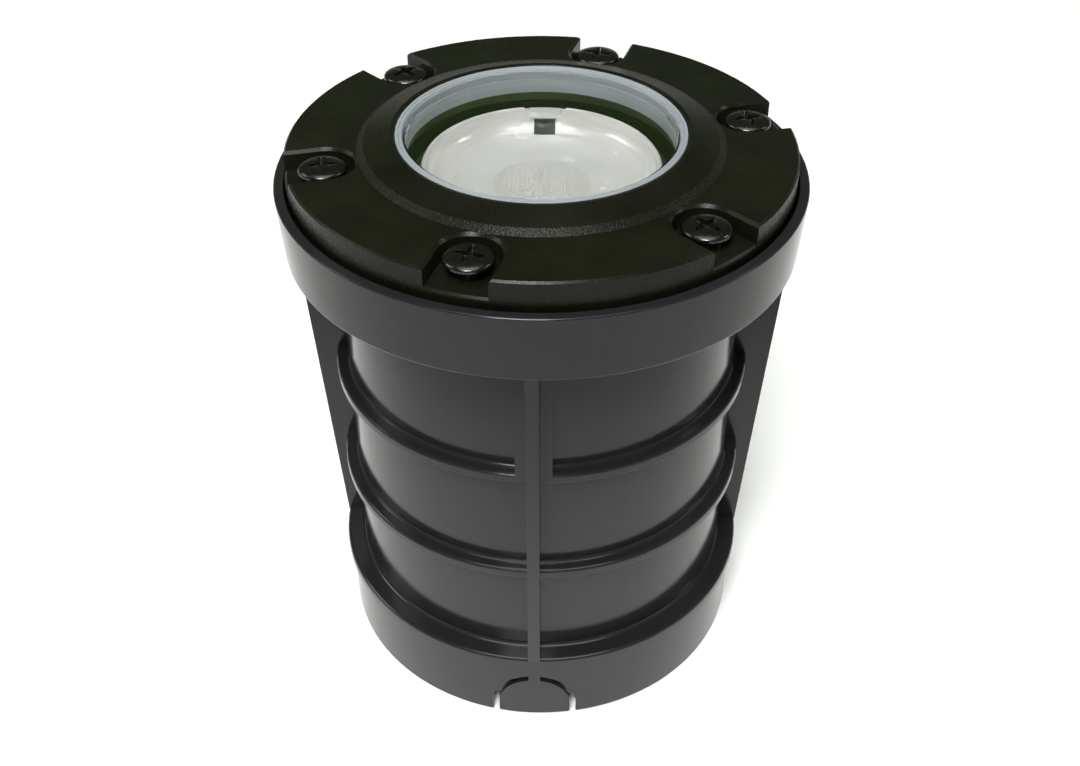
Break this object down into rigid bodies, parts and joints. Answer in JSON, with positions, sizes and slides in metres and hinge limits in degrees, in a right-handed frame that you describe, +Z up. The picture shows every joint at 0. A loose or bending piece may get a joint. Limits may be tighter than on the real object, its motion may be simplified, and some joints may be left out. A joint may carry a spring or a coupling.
{
  "type": "in-ground well light",
  "caption": "Round in-ground well light: finned moulded housing, bolted notched cover, bonded glass lens and a lamp that swivels and tilts inside.",
  "frame": {"origin": "middle of the foot rim of the housing, on the ground", "axes": "+Z up along the axis of the barrel, the pictured cable knock-out and one fin face -Y"},
  "size_m": [0.11, 0.11, 0.1251],
  "materials": {
    "moulded_black": "semi-gloss moulded composite",
    "powder_black": "black powder coat on die-cast metal",
    "screw_black": "blackened steel",
    "brass": "turned",
    "silicone": "translucent white silicone",
    "black_rubber": "matte",
    "clear_glass": "clear toughened glass",
    "inner_black": "fine matte",
    "zinc_steel": "zinc plated",
    "heat_sink": "die-cast aluminium",
    "board_white": "white solder mask",
    "phosphor": "yellow phosphor",
    "reflector_white": "pearly moulded optic",
    "window_white": "pebbled optic",
    "ceramic": "unglazed",
    "terminal_white": "moulded nylon",
    "pin_metal": "tinned"
  },
  "bodies": {
    "housing_body": {"housing": "moulded_black", "screw_inserts": "brass", "bracket_ring": "inner_black", "bracket_screws": "zinc_steel", "gland_body": "inner_black", "gland_washer": "black_rubber", "gland_locknut": "inner_black", "gland_seal": "black_rubber", "gland_nut": "inner_black", "terminal_block": "terminal_white", "terminal_screws": "zinc_steel"},
    "cover_body": {"cover": "powder_black", "cover_screws": "screw_black", "cover_seal": "black_rubber", "lens": "clear_glass", "lens_gasket": "silicone", "lens_retainer": "inner_black", "retainer_screws": "zinc_steel"},
    "swivel_body": {"swivel_ring": "inner_black", "swivel_clip": "zinc_steel"},
    "lamp_body": {"lamp_cradle": "inner_black", "pivot_screws": "zinc_steel", "lamp_heatsink": "heat_sink", "led_board": "board_white", "led_chip": "phosphor", "lamp_reflector": "reflector_white", "lamp_window": "window_white", "lamp_clip": "reflector_white", "lamp_base": "ceramic", "lamp_pins": "pin_metal", "lamp_socket": "ceramic", "socket_contacts": "brass"}
  },
  "joints": [
    {"name": "cover_lift", "type": "slide", "parent": "housing_body", "child": "cover_body", "axis": [0, 0, 1], "range_m": [0, 0.04]},
    {"name": "lamp_swivel", "type": "hinge", "parent": "housing_body", "child": "swivel_body", "pos_m": [0, 0, 0.0964], "axis": [0, 0, 1], "range_deg": [-175, 175]},
    {"name": "lamp_tilt", "type": "hinge", "parent": "swivel_body", "child": "lamp_body", "pos_m": [0, 0, 0.1044], "axis": [1, 0, 0], "range_deg": [-10, 10]}
  ]
}
